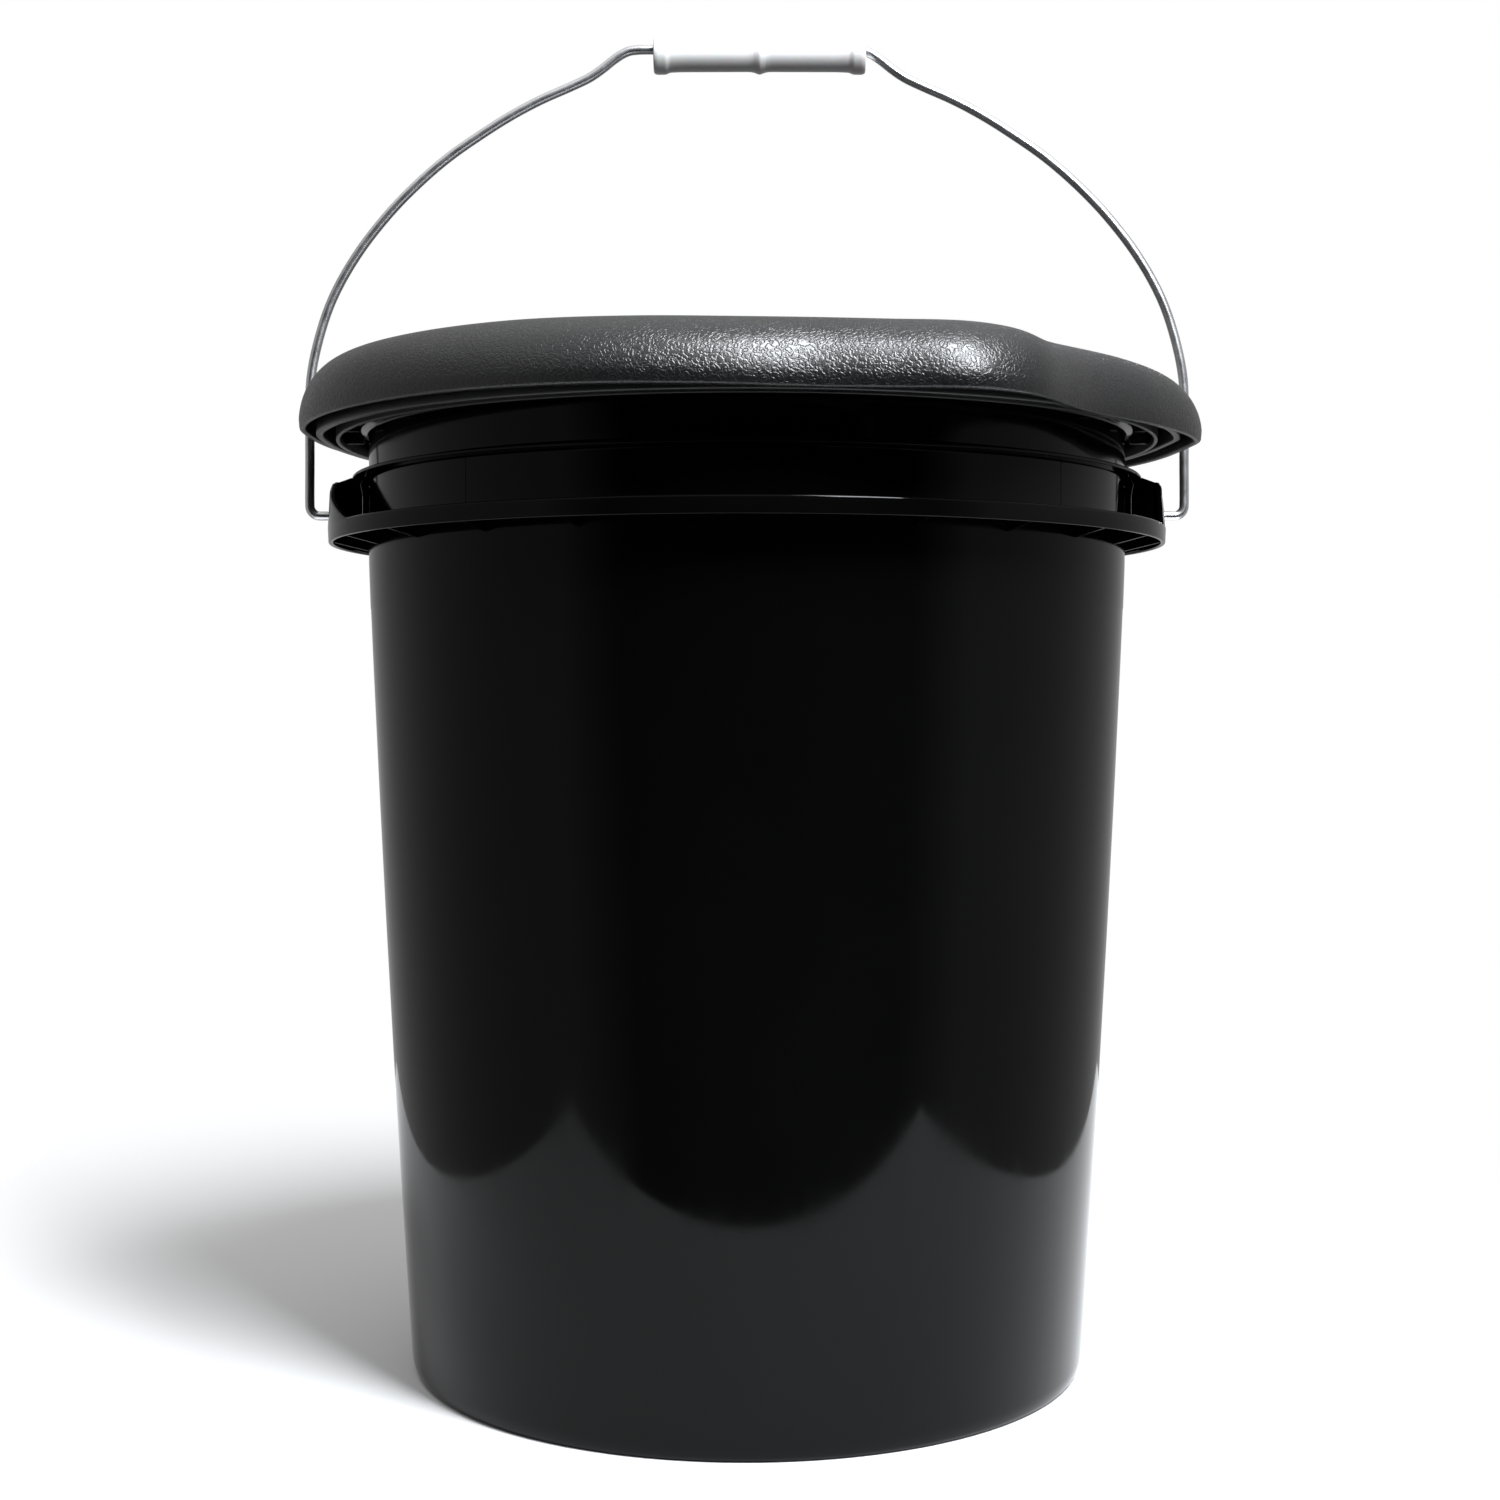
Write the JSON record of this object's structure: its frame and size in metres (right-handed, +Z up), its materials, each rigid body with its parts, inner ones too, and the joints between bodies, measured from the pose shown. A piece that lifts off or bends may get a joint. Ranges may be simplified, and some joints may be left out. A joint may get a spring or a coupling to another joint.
{
  "type": "bucket with press-fit seat and lid",
  "caption": "Round tapered bucket with a wire bail and roller grip, carrying a press-fit seat ring with a hinged, grained, overhanging lid.",
  "frame": {"origin": "centre of the bucket's flat bottom", "axes": "+Z up along the bucket's axis, +X through the bail's ears, -Y towards the front, where the lid's lifting lobe is"},
  "size_m": [0.3508, 0.347, 0.5214],
  "materials": {
    "gloss_black": "smooth glossy moulded black",
    "grain_black": "pebble-grained satin black",
    "zinc_steel": "bright zinc-plated wire",
    "white_plastic": "satin moulded white",
    "pad_rubber": "matt black"
  },
  "bodies": {
    "bucket": {"bucket": "gloss_black"},
    "bail": {"bail_wire": "zinc_steel"},
    "grip": {"bail_grip": "white_plastic"},
    "seat": {"seat": "grain_black", "hinge_pin_left": "zinc_steel", "hinge_pin_right": "zinc_steel"},
    "lid": {"lid": "grain_black", "lid_pad_1": "pad_rubber", "lid_pad_2": "pad_rubber", "lid_pad_3": "pad_rubber", "lid_pad_4": "pad_rubber"}
  },
  "joints": [
    {"name": "seat_lift", "type": "slide", "parent": "bucket", "child": "seat", "axis": [0, 0, 1], "range_m": [0, 0.02]},
    {"name": "lid_open", "type": "hinge", "parent": "seat", "child": "lid", "pos_m": [0, 0.163, 0.361], "axis": [-1, 0, 0], "range_deg": [0, 43]},
    {"name": "bail_swing", "type": "hinge", "parent": "bucket", "child": "bail", "pos_m": [0, 0, 0.3315], "axis": [-1, 0, 0], "range_deg": [0, 122]},
    {"name": "grip_spin", "type": "hinge", "parent": "bail", "child": "grip", "pos_m": [0, 0, 0.5142], "axis": [1, 0, 0], "continuous": true}
  ],
  "couplings": [
    {"joint": "bail_swing", "follows": "lid_open", "ratio": 2.8}
  ]
}
